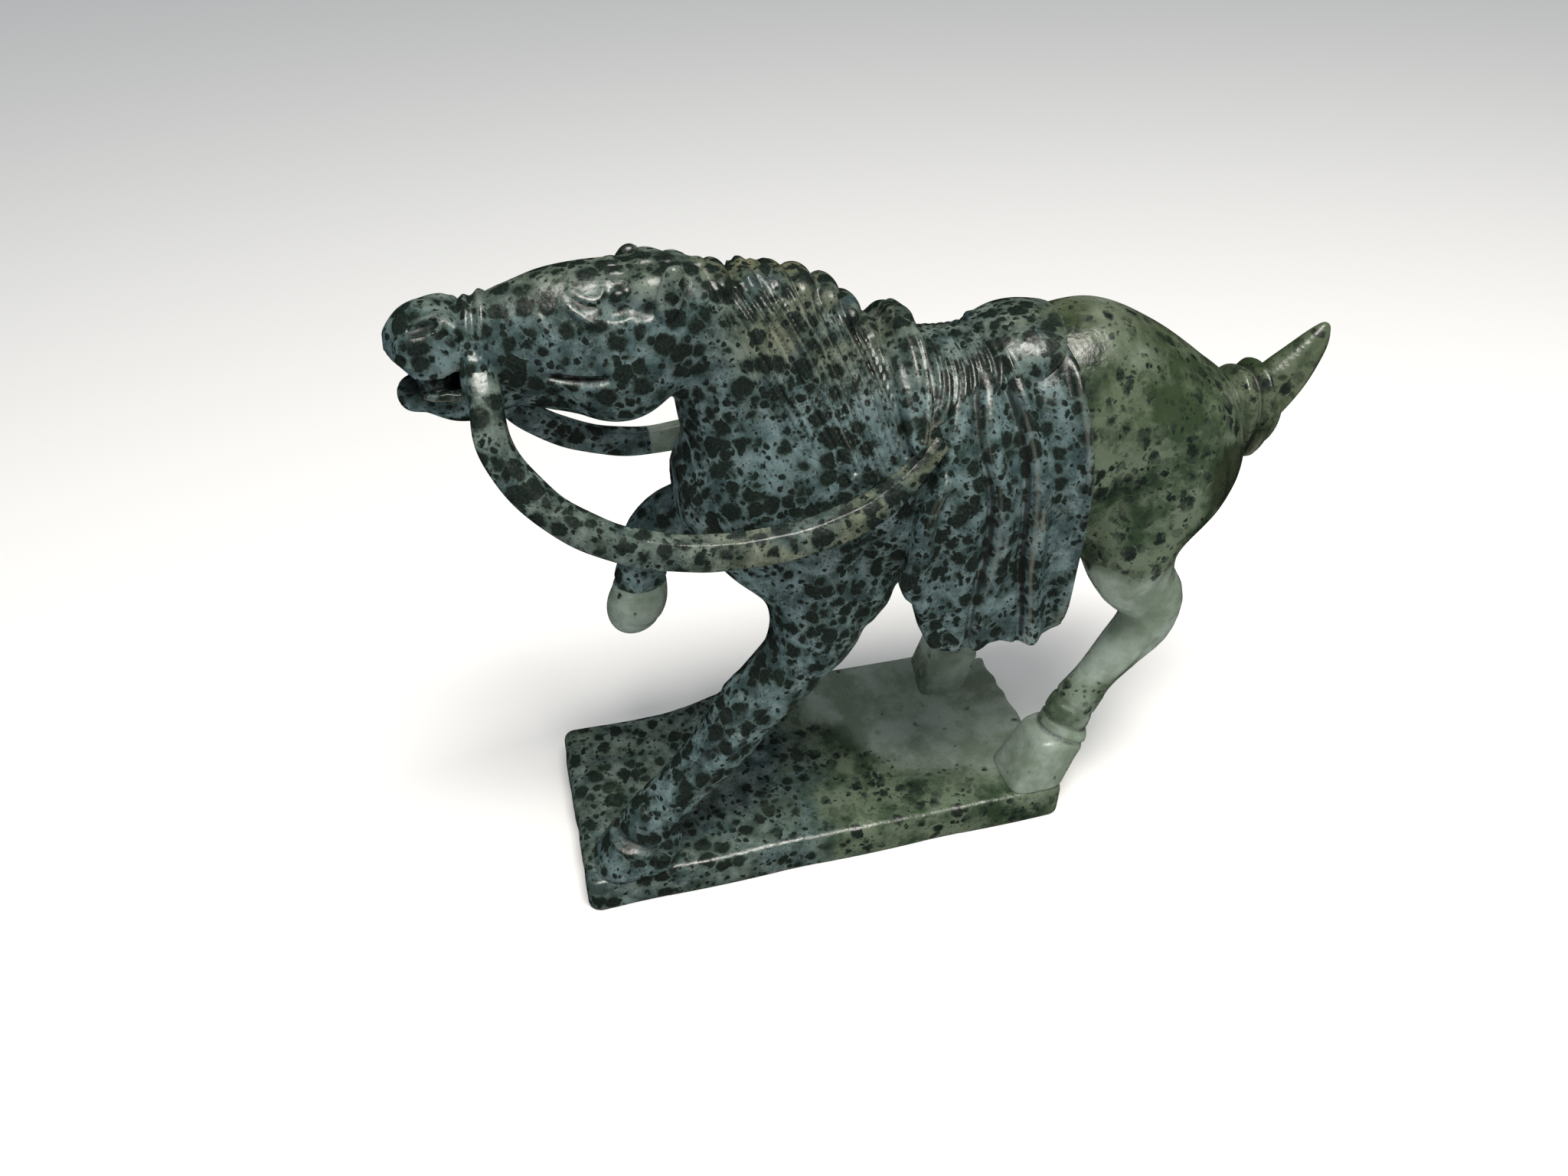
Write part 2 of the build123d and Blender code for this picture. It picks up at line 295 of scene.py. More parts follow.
def unit(vectors):
    return vectors / np.maximum(np.linalg.norm(vectors, axis=1, keepdims=True), 1e-9)


def corner_normals(verts, faces):
    """Area-weighted vertex normals."""
    p = verts[faces]
    face = np.cross(p[:, 2] - p[:, 0], p[:, 3 % p.shape[1]] - p[:, 1])
    normals = np.zeros_like(verts)
    for i in range(faces.shape[1]):
        np.add.at(normals, faces[:, i], face)
    return unit(normals)


def sample(grid, clay, verts):
    """Trilinear look-up of a grid at points."""
    at = (verts - clay.low) / clay.step
    base = np.clip(at.astype(int), 0, np.array(grid.shape) - 2)
    t = at - base
    out = np.zeros(len(verts))
    for i, j, k in CORNERS:
        w = np.ones(len(verts))
        for n, c in enumerate((i, j, k)):
            w *= t[:, n] if c else 1 - t[:, n]
        out += w * grid[base[:, 0] + i, base[:, 1] + j, base[:, 2] + k]
    return out


def hollowness(clay, verts, normals, reach):
    """Positive in grooves and hollows, negative on ridges: the field a little way out."""
    out = sample(clay.d, clay, verts + normals * reach)
    back = sample(clay.d, clay, verts - normals * reach)
    return -(out + back) / reach


# ==== the horse: shapes with the blend that each is added with ====
TORSO = [
    (loft((0, 0), 0, [
        (-29, 90, 103, 8), (-25, 85, 109, 13), (-19, 81, 116, 17), (-8, 77, 122, 20.5),
        (10, 70, 126.2, 22), (21, 66.5, 124.2, 22), (32, 64, 123.4, 22), (48, 65, 126, 22),
        (62, 68, 127.3, 21.5), (76, 71, 121, 20.5), (88, 74, 112.5, 16.5), (97, 79, 105, 10.5),
        (101.5, 85, 99, 4.5),
    ]), 1),
    *[(egg((-8, s * 11, 92), (16, 9.5, 17), pitch=-20), 6) for s in SIDES],
    *[(egg((77.4, s * 11, 93.5), (16.5, 11.5, 20), pitch=25), 6) for s in SIDES],
]
NECK = [
    (loft((0, 100), 113, [
        (-6, -25, 23, 19), (8, -24, 22.5, 17.5), (20, -20.5, 21, 15), (31, -17, 17.5, 12),
        (39, -12.5, 13, 9), (44.5, -7, 8, 5),
    ]), 6),
]
HEAD = [
    (loft((0, 0), 0, [
        (-16, 130, 140, 4), (-21, 125.5, 144.4, 9), (-27, 121.2, 146.4, 10.6), (-36, 117.6, 146.9, 11.6),
        (-44, 117.4, 147, 11.3), (-51, 119.4, 146.3, 9.8), (-58, 121.2, 144.2, 8.4),
        (-66, 119.2, 142, 8), (-70, 119.8, 143, 8.3), (-74, 122, 142.8, 7.9),
        (-76.6, 123.8, 141.4, 6.8), (-78.5, 127.5, 139.4, 4.8), (-79.5, 132, 138, 2.6),
    ]), 4),
    *[(egg((-39, s * 6, 126), (9, 6.3, 7.6)), 3) for s in SIDES],
]


def prism(points, half_width=40):
    """Straight cut through the body with this outline in the side view."""
    edge = outline(points)

    def distance(x, y, z):
        return np.maximum(edge(x, z), np.abs(y) - half_width)

    xs, zs = zip(*points)
    return (min(xs), -half_width, min(zs)), (max(xs), half_width, max(zs)), distance


def chain(points, flat=0.92):
    """One smooth limb through points given as x, y, z, radius."""
    path = curve_through(points, per_span=4)
    bones = [bone(a[:3], b[:3], a[3], b[3], flat) for a, b in zip(path, path[1:])]
    low = np.min([b[0] for b in bones], axis=0)
    high = np.max([b[1] for b in bones], axis=0)

    def distance(x, y, z):
        d = bones[0][2](x, y, z)
        for b in bones[1:]:
            d = smooth_min(d, b[2](x, y, z), 0.4)
        return d

    return low, high, distance


LIMBS = {
    "left_foreleg": [
        (-6, -11, 90, 13), (-3, -14, 76, 10.6), (-4, -15.5, 67, 9), (-9, -16.5, 57.6, 7.6),
        (-19, -17, 47.6, 7.4), (-26, -17.5, 37.6, 6.6), (-35, -18, 28, 5.9), (-42, -18.6, 20.4, 6.5),
        (-45.5, -18.8, 15.5, 6.2),
    ],
    "right_foreleg": [
        (-10, 11, 85, 10.5), (-21, 12, 82.2, 8.2), (-29, 12.5, 80, 7.4), (-32.6, 12.5, 76.8, 6.9),
        (-35.6, 12.5, 70.5, 5.6), (-37, 12.5, 65, 6),
    ],
    "left_hind_leg": [
        (77, -13, 87, 12), (70.5, -15, 76.5, 11.2), (73.2, -16, 66, 8.8), (78.8, -16.5, 58.5, 7),
        (78.2, -16.8, 52.6, 6.6), (73, -17, 45, 5.6), (67.2, -17.3, 36.5, 4.9), (62.2, -17.8, 28.5, 5.7),
        (59.8, -18.2, 21, 6),
    ],
    "right_hind_leg": [
        (74, 13, 87, 12), (65, 14, 76.5, 11), (63.5, 15.6, 65, 8.8), (67, 16.6, 57, 7),
        (66.2, 17.2, 51.4, 6.6), (61, 18, 43.5, 5.6), (54.5, 18.8, 35, 4.9), (49, 19.4, 28.5, 5.6),
        (46.6, 19.6, 22.5, 5.9),
    ],
}


def hoof(toe, heel, y, top_toe, top_heel, top_z, half_sole, half_top, sole_z=9.0, square=3.2):
    """Tapered block hoof with flat facets: x of toe and heel at the sole and at the top."""
    height = top_z - sole_z

    def distance(x, y_, z):
        t = np.clip((z - sole_z) / height, -0.3, 1.2)
        front, rear = toe + t * (top_toe - toe), heel + t * (top_heel - heel)
        half = half_sole + t * (half_top - half_sole)
        u = (x - (front + rear) / 2) / ((rear - front) / 2)
        v = (y_ - y) / half
        size = np.minimum(half, (rear - front) / 2)
        side = ((np.abs(u) ** square + np.abs(v) ** square) ** (1 / square) - 1.0) * size
        return -smooth_min(-side, -np.maximum(z - top_z, sole_z - 0.6 - z), 2.0)

    reach = max(half_sole, half_top)
    low = (min(toe, top_toe), y - reach, sole_z - 1)
    high = (max(heel, top_heel), y + reach, top_z)
    return low, high, distance


HOOVES = {
    "left_fore_hoof": hoof(-57.8, -37.6, -19.4, -52.6, -36.0, 17.0, 8.0, 6.2),
    "left_hind_hoof": hoof(45.6, 60.0, -18.4, 52.4, 65.6, 23.5, 7.8, 6.2, square=4.5),
    "right_hind_hoof": hoof(35.0, 49.0, 19.4, 39.5, 53.5, 24.5, 6.6, 5.8, square=4.5),
}


def body_clay():
    clay = Clay((-84, -30, 7.5), (108, 30, 152), 0.5)
    clay.add_all(TORSO + NECK + HEAD)
    for points in LIMBS.values():
        clay.add(chain(points), 4.0)
    for shape in HOOVES.values():
        clay.add(shape, 2.2)
    # The raised hoof, and the muscle behind the near foreleg.
    clay.add(egg((-38, 12.5, 59.6), (6.6, 6.2, 9), pitch=-28), 1.2)
    clay.add(bone((-2.2, -15, 65.6), (6, -13.5, 75.4), 7.8, 8.5), 4)
    carve_torso(clay)
    carve_head(clay)
    carve_legs(clay)
    return clay


def carve_torso(clay):
    # Muscle lines: shoulder, chest, flank, stifle and the crease under the croup.
    clay.chisel([
        ([(-17, 112), (-12, 99), (-9, 84), (-12, 74)], 3.5, 0.9),
        ([(8, 96), (5, 86), (4, 74), (8, 64)], 3, 0.9),
        ([(-26, 104), (-22, 92), (-14, 82)], 2.5, 0.5),
        ([(60, 104), (62, 92), (60, 80), (63, 70)], 4, 1),
        ([(58, 118), (66, 112), (74, 110)], 4, 0.5),
        ([(84, 104), (88, 96), (90, 86)], 2.5, 0.6),
        ([(-29, 112), (-27, 98), (-22, 86)], 1.2, -0.35),
    ], fade=0.3)
    # The spine dips a little between the loin and the croup.
    clay.carve(egg((52.5, 0, 131.6), (5, 12, 4.2)), 2.5)


def carve_head(clay):
    # Mouth: a wedge open at the front, a slot along the lips, and the teeth standing inside it.
    clay.carve(prism([
        (-72.6, 129.6), (-75.2, 132), (-77.2, 134), (-80.2, 136), (-86, 136.6), (-86, 125),
        (-77, 126),
    ]), 0.8)
    clay.carve(bone((-76, 0, 129.9), (-65.4, 0, 130.6), 1.8, 1.7, flat=9), 0.5)
    clay.carve(bone((-68, 0, 130.4), (-64.4, 0, 130.6), 2.5, 2.2, flat=6), 0.5)
    clay.add(egg((-71.6, 0, 129.4), (3.6, 6.6, 2.9), pitch=4), 0.3)
    clay.add(egg((-76.2, 0, 125.6), (3, 6.2, 1.9), pitch=-12), 1.5)
    for s in SIDES:
        # Upper lip: a leaf-shaped lobe with a raised rim.
        clay.add(egg((-72, s * 5.2, 136.4), (5.8, 3.2, 3.6), pitch=-14), 0.8)
        clay.carve(egg((-72.2, s * 9.2, 136.9), (4.2, 1.4, 2.3), pitch=-14), 1)
        # Nostril with its flared wing.
        clay.add(egg((-70.4, s * 4.2, 140.4), (3.6, 2.6, 1.6), pitch=14), 1.6)
        clay.carve(egg((-72, s * 5.8, 140.6), (2.9, 1.6, 0.9), pitch=14), 0.5)
        clay.add(egg((-66.8, s * 5.6, 139.6), (1.3, 1.6, 1.6)), 1)
        # Eye in its socket, temple hollow, ear root.
        clay.carve(egg((-38.2, s * 9.2, 142.6), (3.4, 1.8, 2.4), pitch=20), 1.4)
        clay.add(egg((-38, s * 6.7, 142.9), (1.9, 1.7, 1.6)), 0.5)
        clay.carve(egg((-34.4, s * 9.6, 142.6), (2.2, 1.4, 3), pitch=40), 1.6)
        clay.add(egg((-31.5, s * 5.5, 143.6), (3.4, 3, 2.6)), 3)
    clay.chisel([
        ([(-46.8, 144.9), (-44.2, 143.7), (-41.6, 143.4), (-40.2, 145)], 0.8, -0.6),
        ([(-46.5, 143.7), (-44, 142.4), (-41.8, 142)], 0.8, 0.4),
        ([(-47.6, 143), (-45.2, 141.2), (-42.2, 139.4)], 0.9, -0.7),
        ([(-48.2, 142), (-46, 140), (-43.4, 138.4)], 1.3, 0.5),
        ([(-52.6, 141.8), (-51.4, 139.2), (-49.6, 136.4)], 0.8, -0.45),
        ([(-53.6, 141), (-52.4, 138.4), (-50.6, 135.8)], 1.2, 0.35),
        ([(-50.2, 141.4), (-47.4, 138.8), (-44.4, 136.8)], 2.6, 0.55),
        ([(-53.2, 130.5), (-47, 129.7), (-40.8, 129.8)], 1, 1.3),
        ([(-53, 129), (-47, 128), (-41, 128.2)], 1.2, -0.35),
        ([(-35.6, 139.4), (-35.2, 135.6)], 0.7, -0.35),
        ([(-34.6, 132), (-31.5, 136), (-31, 141)], 1.6, 0.5),
        ([(-60, 137.5), (-54, 134), (-46, 133.6)], 3, 0.5),
        ([(-62, 127), (-54, 125.6), (-46, 122.6)], 1.6, 0.4),
        ([(-79.6, 136.4), (-76.4, 134.6), (-71, 133.4)], 0.9, -0.45),
        ([(-78.4, 130.6), (-74, 128), (-68, 127.4)], 0.8, -0.35),
        ([(-77.6, 129.6), (-73, 126.8), (-67, 126.2)], 0.9, 0.35),
    ], fade=0.2)
    # The bridge of the nose is a flat facet between two soft edges.
    for s in SIDES:
        clay.carve(egg((-56, s * 8.2, 146.2), (12, 3, 3.6), pitch=12), 2.5)


def carve_legs(clay):
    # Near foreleg: a crisp ridge down the shin, knee creases, fetlock and coronet.
    clay.chisel([
        ([(-12, 61.5), (-20, 49.5), (-28, 38), (-38, 27)], 2.6, -1.1),
        ([(-16, 44), (-11.5, 47.5)], 1.2, 0.5),
        ([(-25, 52), (-20, 47), (-13.5, 43.5)], 1.6, 0.35),
        ([(-31, 41), (-27, 36.6), (-22, 33)], 1.4, 0.4),
        ([(-46.5, 28.5), (-41.5, 24), (-36.5, 20.5)], 1.2, 0.5),
        ([(-53.5, 19), (-47, 17.4), (-39.5, 13.8)], 1.1, 0.7),
        ([(-54, 17.4), (-47.5, 15.6), (-40, 12.2)], 0.9, -0.3),
    ], LEFT)
    # Hind legs: hock, tendon groove, fetlock bands and coronet.
    for dx, side in ((0, LEFT), (-12, RIGHT)):
        clay.chisel([
            ([(70 + dx, 60), (75 + dx, 55), (74 + dx, 47), (68 + dx, 38)], 1.8, -0.45),
            ([(79 + dx, 51), (74 + dx, 42), (68.5 + dx, 33)], 1.6, 0.55),
            ([(57 + dx, 33.5), (62 + dx, 31), (67.5 + dx, 27.5)], 1.1, 0.5),
            ([(55.5 + dx, 28), (60 + dx, 26.4), (66.5 + dx, 23.4)], 1, 0.6),
            ([(53 + dx, 25), (58 + dx, 23.6), (65.5 + dx, 20.4)], 1, 0.6),
        ], side)
    # Raised foot: coronet crease, a band near the sole and the cleft of the knee.
    clay.chisel([
        ([(-44.5, 66.5), (-38.6, 65), (-30, 66.4)], 1, 0.5),
        ([(-42, 57), (-36.5, 55.4), (-30, 56)], 0.9, 0.35),
        ([(-40.5, 78), (-36, 77), (-31, 75)], 1.4, 0.5),
    ])


def outline(points):
    """Distance to a closed outline in the side view, negative inside."""
    ring = points + points[:1]

    def distance(x, z):
        gap, _ = stroke_gap(ring, x, z)
        inside = np.zeros(gap.shape, bool)
        for (ax, az), (bx, bz) in zip(ring, ring[1:]):
            if az == bz:
                continue
            spans = (z > min(az, bz)) & (z <= max(az, bz))
            inside ^= spans & (x < ax + (z - az) * (bx - ax) / (bz - az))
        return np.where(inside, -gap, gap)

    return distance


def ramp(value, low, high):
    t = np.clip((value - low) / (high - low), 0.0, 1.0)
    return t * t * (3 - 2 * t)


def mane_clay():
    """Combed locks on the crest of the neck, ending in small curls."""
    clay = Clay((-27, -27, 98), (21, 27, 150), 0.4)
    clay.add_all(TORSO + NECK + HEAD)
    x, y, z = clay.grid()
    edge = outline([
        (-24.5, 150), (-22.9, 146.1), (-21.8, 143.6), (-20.1, 139.7), (-18.4, 135.6), (-16.8, 131.6),
        (-15.2, 126.1), (-13.4, 121), (-9.9, 114.5), (-7, 112.4), (-3.5, 110.4), (-0.5, 108.6),
        (2.7, 105.3), (7.4, 104), (11.3, 105.4), (14.5, 108.2), (15.5, 112), (14.5, 120), (14, 128),
        (15.5, 134), (12, 150),
    ])(x, z)
    inner = ramp(-edge, 0.0, 4.0)
    start = smooth_curve([100, 114.8, 124.5, 135.5, 146.3, 152], [-0.5, -7.3, -11.8, -17.7, -23.9, -27.2], z)
    lane = (x - start) / (7.8 + (z - 115) * 0.084)
    phase = 4.4 * lane + 0.22 * np.sin(5.1 * lane) + 0.12 * np.sin(0.31 * z + 2 * lane)
    lock = (1 - np.abs(np.sin(math.pi * phase))) ** 1.5
    deep = (1 - np.abs(np.sin(math.pi * (phase / 3 + 0.2)))) ** 5
    crest = 1 - ramp(np.abs(y), 1.0, 9.0)
    rise = 0.15 + (1.1 - 1.3 * crest) * inner
    clay.d = clay.d - rise + (0.95 * lock + 0.8 * deep) * inner * (1 + 0.3 * crest)
    for cx, cz, r in [(-19.0, 142.2, 2.2), (-13.8, 141.2, 2.3), (-8.8, 140.6, 2.6), (-3.4, 139.3, 2.8),
                      (1.9, 137, 2.6), (6.3, 132.9, 2.6), (10.2, 128.2, 2.3)]:
        clay.add(egg((cx, 0, cz), (r, 6.5, r), pitch=-25), 2)
    for s in SIDES:
        for cx, cz, r in [(-0.4, 109.6, 1.5), (2.6, 107.2, 1.4), (5.6, 105.9, 1.3), (8.6, 105.7, 1.4),
                          (11.2, 107, 1.3), (13.2, 108.8, 1.4)]:
            hub = surface_y(clay, cx, cz)
            clay.add(egg((cx, s * (hub - 0.2), cz), (r, 1.2, r)), 0.3)
            clay.carve(egg((cx, s * (hub + 1.1), cz), (0.6, 0.8, 0.6)), 0.2)
    clay.keep(edge, 0.5)
    return clay


def surface_y(clay, x, z):
    """Half width of a block at a place in the side view."""
    i = int(round((x - clay.low[0]) / clay.step))
    k = int(round((z - clay.low[2]) / clay.step))
    inside = np.flatnonzero(clay.d[i, :, k] < 0)
    return float(clay.axes[1][inside[-1]]) if len(inside) else 0.0


def saddle_clay():
    clay = Clay((8, -28, 106), (54, 28, 137), 0.4)
    clay.add_all(TORSO + NECK)
    x, y, z = clay.grid()
    edge = outline([
        (12, 140), (10.6, 133), (11, 126), (11.8, 120), (13, 115), (14.4, 110.4), (16.6, 110.4),
        (19.5, 113), (24.5, 115), (31, 117.2), (38, 117), (43.5, 119), (48.5, 122.5), (51.5, 127),
        (52, 140),
    ])(x, z)
    seat = ramp(x, 18, 24)
    clay.d = clay.d - (0.35 + 1.2 * seat * ramp(-edge, 0, 2.5) * (1 - 0.85 * ramp(x, 34, 44)))
    for s in SIDES:
        # Pommel: an arched lobe that narrows to a point low on the shoulder.
        clay.add(chain([
            (16.8, s * 0.5, 127.4, 3.9), (16.6, s * 7, 125.8, 3.8), (15.9, s * 12.5, 122.6, 3.4),
            (15.5, s * 17, 118.2, 2.8), (15, s * 20.2, 113.8, 2.2), (14.8, s * 21.6, 110.4, 1.5),
        ], flat=1), 1.2)
    clay.add(egg((44.5, 0, 121.4), (9.5, 13, 6.2), pitch=-4), 5)
    # The crisp line down the pommel, the hollow in front of it and the fine folds behind.
    clay.chisel([
        ([(18.8, 131), (18.9, 126), (18.4, 121.6), (17.2, 117), (15.8, 112)], 1, -0.7),
        ([(14.2, 131), (14.6, 126), (14.9, 120), (15, 114)], 2, 0.7),
    ])
    clay.chisel([([(21.2, 130), (21.4, 124), (20.6, 118), (18.6, 114)], 1.8, 0.9)], fade=0.2)
    for i in range(8):
        t = i / 7
        top = (24.0 + 10.5 * t, 127.0 - 0.4 * t)
        low = (20.4 + 14.5 * t, 113.6 + 3.2 * t)
        mid = ((top[0] + low[0]) / 2 + 1.3 + 0.4 * t, (top[1] + low[1]) / 2 + 1.0)
        clay.chisel([([top, mid, low], 0.95, (0.75, 0.45, 0.6)[i % 3])], fade=0.3)
    clay.chisel([([(36, 124.5), (37.8, 120.5), (39, 116)], 1.3, -0.9)], fade=0.25)
    clay.keep(edge, 0.6)
    return clay


def shifted(points, dx):
    return [(x + dx, z) for x, z in points]


def cloth_clay():
    """Saddle cloth: a skirt hung over the barrel, pleated, standing clear of it at the hem."""
    clay = Clay((8, -30, 58), (58, 30, 132), 0.45)
    clay.add_all(TORSO)
    x, y, z = clay.grid()
    edge = outline([
        (24, 117), (21.2, 110), (18.6, 103.5), (15.8, 98.5), (14.6, 92), (14, 86), (12.6, 80.4),
        (13.6, 77.6), (15.6, 75.6), (17.4, 69), (19.6, 64), (22.6, 62.2), (26.4, 62), (30.4, 61.2),
        (32.6, 62.4), (36, 62.4), (39.6, 61), (43.4, 61.2), (47.4, 62.2), (50.2, 64.6), (51.6, 70),
        (52.8, 78), (53.8, 88), (53.4, 98), (52.4, 108), (52, 116), (51.4, 121), (49.4, 126),
        (45, 130), (40, 134), (30, 134),
    ])(x, z)
    out = 24.4 + np.maximum(97 - z, 0) * 0.066 - 0.013 * np.maximum(z - 84, 0) ** 2
    bell = np.maximum(np.abs(y) - out, z - 112)
    thick = 1.0 + 2.0 * ramp(-z, -124, -100)
    clay.d = smooth_min(clay.d - thick, bell, 3.0)
    hollow = np.maximum(np.abs(y) - (out - 4.4), z - 86)
    clay.d = -smooth_min(-clay.d, hollow, 1.0)
    low = ramp(-z, -112, -84)
    for points, groove, ridge in [
        ([(30.4, 121.5), (28.8, 116), (28.4, 110), (30.4, 101), (30.8, 87), (28.4, 70), (27.8, 58)],
         1.0, 0.9),
        ([(34.2, 124), (35.6, 118.5), (36.8, 113), (37.8, 106.5), (38.4, 96), (38.8, 84), (40.4, 64),
          (40.6, 56)], 1, 1.1),
        ([(46, 118), (47.6, 110), (47.4, 98), (46.2, 84), (47.4, 66), (48, 56)], 0.25, 0.2),
        ([(23.6, 104), (24, 94), (22.6, 82), (23.4, 66), (23, 56)], 0.15, 0.15),
    ]:
        clay.chisel([(points, 1.7, groove), (shifted(points, 2.6), 3.2, -1.5 * ridge)], fade=0.08)
        clay.chisel([(shifted(points, 7), 3.6, 0.5)], fade=0.2)
    # Rolled front and rear edges.
    for points, width, depth, fade in [
        ([(21.5, 106), (18, 100.5), (16.8, 92), (16.2, 84), (15.4, 79)], 2, -1.3, 0.08),
        ([(24.5, 104), (21.4, 99.5), (20.4, 92), (20, 84), (19.4, 74)], 2.2, 0.7, 0.1),
        ([(50.2, 122), (50.9, 112), (51.8, 100), (52, 88), (51, 77), (49.6, 66)], 1.5, -0.9, 0.08),
        ([(47.8, 122), (48.6, 112), (49.4, 100), (49.6, 88), (48.8, 77)], 1.5, 0.5, 0.1),
    ]:
        clay.chisel([(points, width, depth)], fade=fade)
    clay.d = clay.d + 0.2 * np.sin((x - 12) * 0.78) * low
    clay.keep(edge, 1.4)
    return clay


def noseband_clay():
    """Double-ridged band round the muzzle, ending where the reins start."""
    clay = Clay((-70, -12, 120), (-57, 12, 147), 0.35)
    clay.add_all(HEAD)
    x, y, z = clay.grid()
    middle = -63.2 - 0.13 * (143 - z)
    across = x - middle
    ridges = np.exp(-((across + 1.25) / 0.75) ** 2) + np.exp(-((across - 1.25) / 0.75) ** 2)
    clay.d = clay.d - 0.25 - 0.75 * ridges
    for s in SIDES:
        clay.add(egg((-64.4, s * 8.4, 131), (2.8, 1.8, 4.2)), 2)
    limit = np.maximum(np.abs(across) - 2.6, 124.0 - z)
    clay.keep(limit, 0.6)
    return clay


def forelock_clay():
    clay = Clay((-50, -8, 139), (-20, 8, 150), 0.35)
    clay.add(chain([
        (-23, 0, 143.6, 2.4), (-30, 0, 144.6, 2.6), (-37, 0, 144.6, 2.4), (-44, 0, 144.8, 1.9),
        (-48.5, 0, 144.6, 1.2),
    ], 1.5), 1)
    for s in SIDES:
        clay.add(chain([
            (-25, s * 2.6, 144.2, 1.9), (-32, s * 3.2, 144.6, 1.9), (-39, s * 3, 144.6, 1.5),
            (-43.5, s * 2.2, 144.6, 0.9),
        ], 1), 0.5)
    x, y, z = clay.grid()
    clay.d = clay.d + 0.35 * (1 - np.abs(np.sin(y * 1.25 + 0.25 * np.sin(x * 0.35)))) ** 1.5
    clay.d = clay.d + 0.25 * np.sin(x * 1.05 + 1.0)
    return clay


EARS = {  # block corners, outer shape and its flatness, hollow and its blend, root
    "left_ear": (
        ((-38, -15, 134), (-22, -3, 153)),
        [(-30.6, -7.4, 136.3, 1), (-30.2, -8.8, 139.6, 2), (-29.2, -9, 143.2, 2.3),
         (-28.2, -8.6, 146.8, 1.6)], 0.8,
        [(-31, -11.3, 139.2, 0.7), (-30.2, -11.3, 142.2, 1.2), (-29.3, -10.8, 145.6, 0.7)], 0.8,
        ((-30.3, -6, 139), (-28.5, -6.5, 143.6), 2, 1.6),
    ),
    "right_ear": (
        ((-44, 2, 132), (-24, 15, 151)),
        [(-35, 7, 135, 1.4), (-34.8, 8.2, 138.4, 2.6), (-34.3, 8.6, 141.8, 2.7),
         (-33.6, 8.4, 144.2, 2.1)], 0.72,
        [(-35.2, 10.9, 138.2, 0.9), (-34.7, 11.1, 141, 1.4), (-34, 10.8, 143.6, 0.9)], 0.9,
        ((-34.4, 5.5, 137.4), (-33.8, 6.4, 141.4), 2.6, 2),
    ),
}


def ear_clay(name):
    """A flat ear laid back along the neck: rounded tip, hollow outer face."""
    corners, shape, flat, hollow, blend, root = EARS[name]
    clay = Clay(*corners, 0.3)
    clay.add(chain(shape, flat), 0.5)
    clay.carve(chain(hollow, 0.8), blend)
    clay.add(bone(*root), 2.0)
    return clay


def tail_knot_clay():
    """The tied-up root of the tail: petal folds round a rounded block."""
    clay = Clay((80, -16, 74), (120, 16, 114), 0.4)
    clay.add(egg((92, 0, 99), (9, 8.5, 8), pitch=-30), 2)
    clay.add(egg((101.4, 0, 98), (7.4, 8.6, 10.2), pitch=-20), 2.5)
    clay.add(egg((105.4, 0, 93.6), (4.8, 7.2, 9), pitch=-24), 2.5)
    clay.add(egg((100.2, 0, 87), (3.8, 5.2, 6.2), pitch=-24), 2.5)
    # Folds that start apart at the top and meet at the bottom.
    clay.chisel([
        ([(96.6, 109), (95.8, 101), (97.4, 92), (101.6, 81)], 1.4, 1.1),
        ([(101.6, 110), (101.8, 102), (102.2, 94), (102.6, 82)], 1.5, 1.4),
        ([(105.8, 108), (106.8, 101), (106.8, 94), (104.4, 84)], 1.2, 0.8),
        ([(99, 110), (98.8, 102), (99.8, 93), (102.2, 83)], 1.3, -0.7),
        ([(104, 109), (104.6, 101), (104.6, 94), (103.4, 85)], 1.3, -0.7),
    ])
    return clay


def tail_tip_clay():
    clay = Clay((100, -9, 88), (125, 9, 118), 0.35)
    clay.add(chain([
        (106.6, 0, 98.6, 6.2), (110.6, 0, 102.8, 5.7), (114.6, 0, 107.8, 4.3), (117.2, 0, 111.8, 2.9),
        (118.4, 0, 114.4, 1.5),
    ], 0.82), 0.5)
    clay.chisel([
        ([(108, 95), (113.4, 103), (117.8, 112)], 1.1, -0.5),
        ([(106, 99), (111.4, 105.6), (116.4, 112.6)], 1.3, 0.5),
    ])
    return clay


